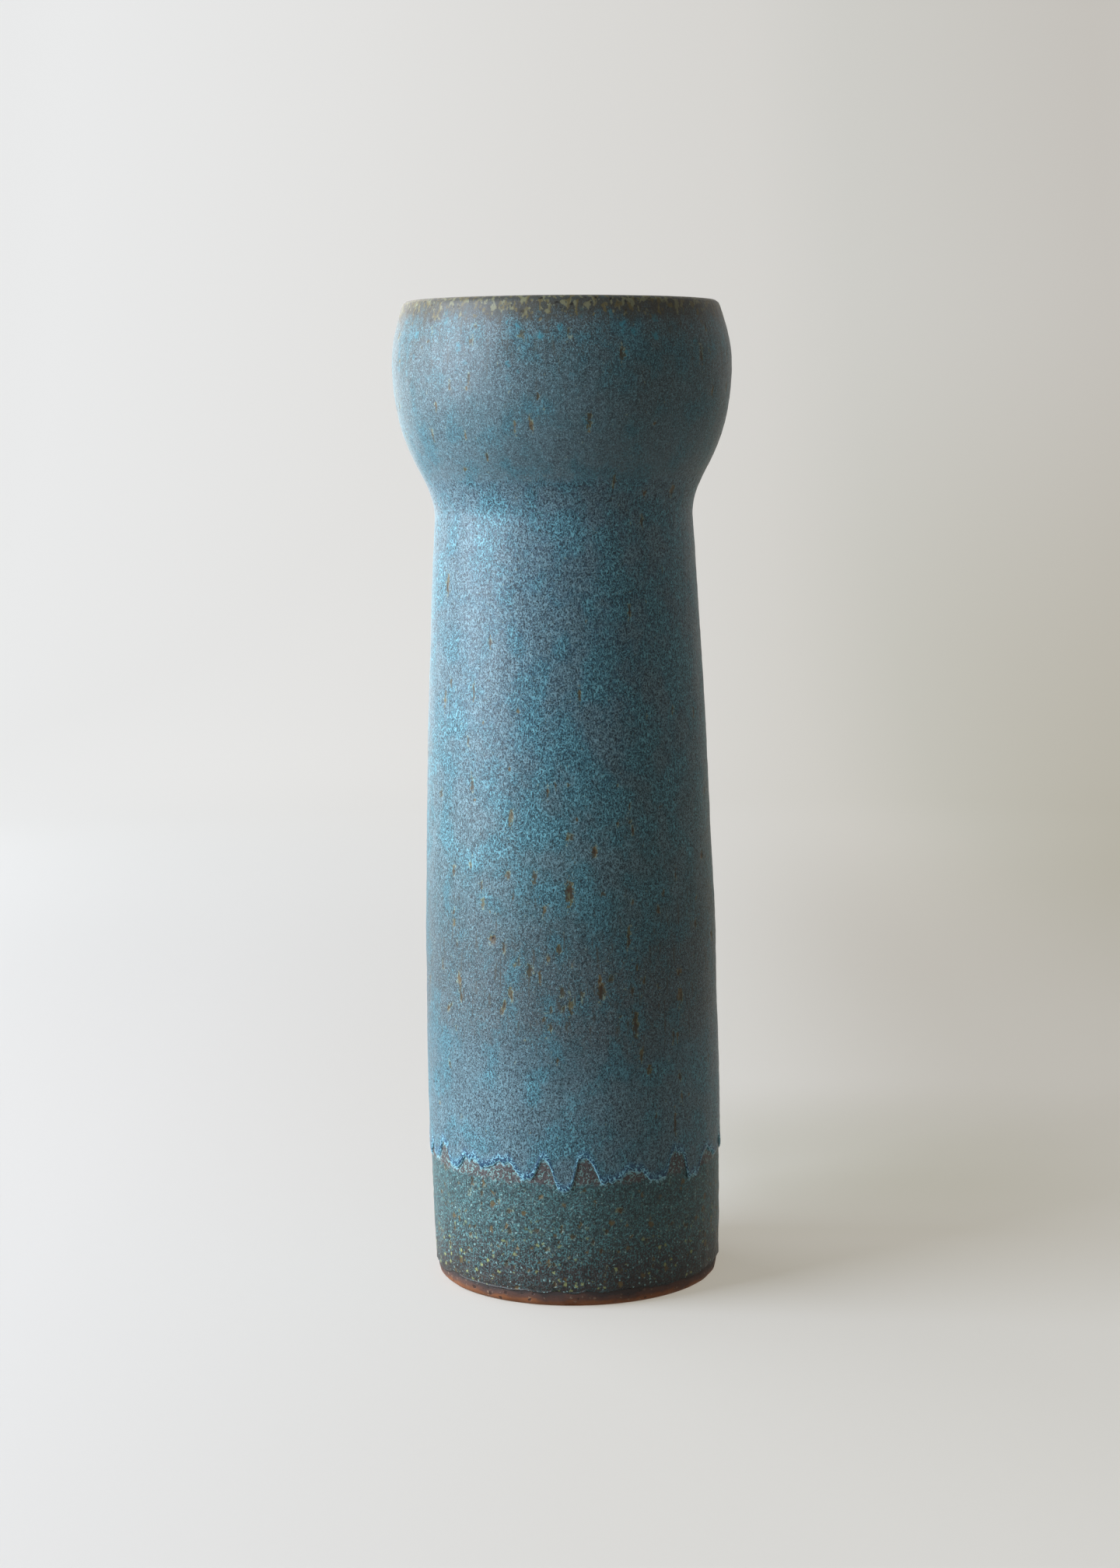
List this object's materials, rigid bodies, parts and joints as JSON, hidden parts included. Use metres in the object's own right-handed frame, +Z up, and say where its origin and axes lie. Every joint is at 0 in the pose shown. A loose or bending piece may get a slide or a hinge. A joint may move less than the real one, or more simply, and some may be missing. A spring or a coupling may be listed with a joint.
{
  "type": "vase",
  "caption": "Tall stoneware vase: a slightly swelling column under a bowl-shaped head, with a running top glaze that stops in a scalloped edge above a bare clay foot.",
  "frame": {"origin": "on the ground under the middle of the foot ring", "axes": "+Z up through the mouth; -Y is the front; +X is to the right seen from the front. The vase leans 1.6 mm towards -X from the foot to the head"},
  "size_m": [0.1166, 0.1166, 0.3397],
  "materials": {
    "stoneware_clay": "bare red-brown stoneware, fired, rough and matt, with a darker purple-brown flash below the glaze",
    "green_base_glaze": "dark slate green with turquoise flecks and ochre-brown iron spots, satin",
    "blue_top_glaze": "mottled crystalline blue with fine light squiggles, brown streaks and a raised pale-blue edge, satin",
    "liner_glaze": "dark slate-blue liner, semi-gloss"
  },
  "bodies": {
    "root": {"clay_column": "stoneware_clay", "clay_head": "stoneware_clay", "base_glaze": "green_base_glaze", "top_glaze": "blue_top_glaze", "liner_glaze": "liner_glaze"}
  },
  "joints": []
}
